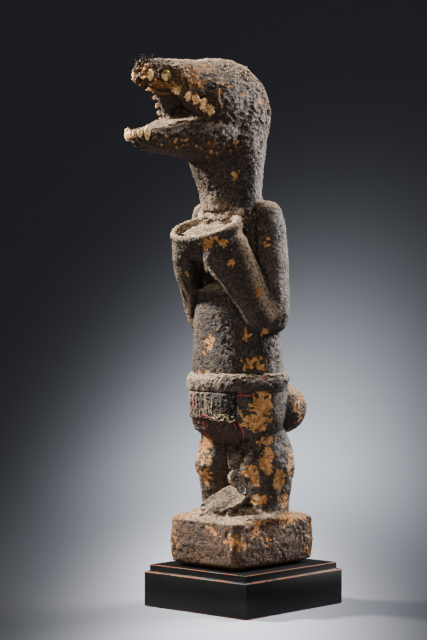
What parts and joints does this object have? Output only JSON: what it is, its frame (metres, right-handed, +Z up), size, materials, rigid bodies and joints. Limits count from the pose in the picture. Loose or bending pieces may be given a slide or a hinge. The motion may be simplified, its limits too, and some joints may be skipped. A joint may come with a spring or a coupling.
{
  "type": "carved monkey figure",
  "caption": "Carved wooden monkey standing on a block, head thrown back and jaws open, holding a bowl; crusted patina, waist cloth, on a stepped plinth.",
  "frame": {"origin": "centre of the plinth's underside", "axes": "+Z up; the monkey faces -Y; +X is towards its own left side"},
  "size_m": [0.148, 0.2555, 0.5961],
  "materials": {
    "crusted_wood": "dark, matt, granular crust of old offerings over carved wood, rubbed dusty grey on the ridges and chipped to bare ochre wood",
    "lacquered_wood": "black satin lacquer, worn to red-brown along the edges",
    "crusted_cloth": "rolled and folded cloth stiffened by the same crust, with dark red threads at its edges",
    "tooth_bone": "cream to ochre tooth and bone, slightly polished",
    "amber_bead": "cloudy olive-amber bead, opaque"
  },
  "bodies": {
    "root": {"plinth": "lacquered_wood", "monkey_figure": "crusted_wood", "waistband": "crusted_cloth", "loincloth": "crusted_cloth", "eye_left": "amber_bead", "eye_right": "amber_bead", "upper_canine_left": "tooth_bone", "upper_canine_right": "tooth_bone", "lower_canine_left": "tooth_bone", "lower_canine_right": "tooth_bone", "lower_outer_incisor_left": "tooth_bone", "lower_outer_incisor_right": "tooth_bone", "lower_inner_incisor_left": "tooth_bone", "lower_inner_incisor_right": "tooth_bone", "upper_side_tooth_1_left": "tooth_bone", "upper_side_tooth_1_right": "tooth_bone", "upper_side_tooth_2_left": "tooth_bone", "upper_side_tooth_2_right": "tooth_bone", "upper_side_tooth_3_left": "tooth_bone", "upper_side_tooth_3_right": "tooth_bone", "upper_side_tooth_4_left": "tooth_bone", "upper_side_tooth_4_right": "tooth_bone", "upper_side_tooth_5_left": "tooth_bone", "upper_side_tooth_5_right": "tooth_bone"}
  },
  "joints": []
}
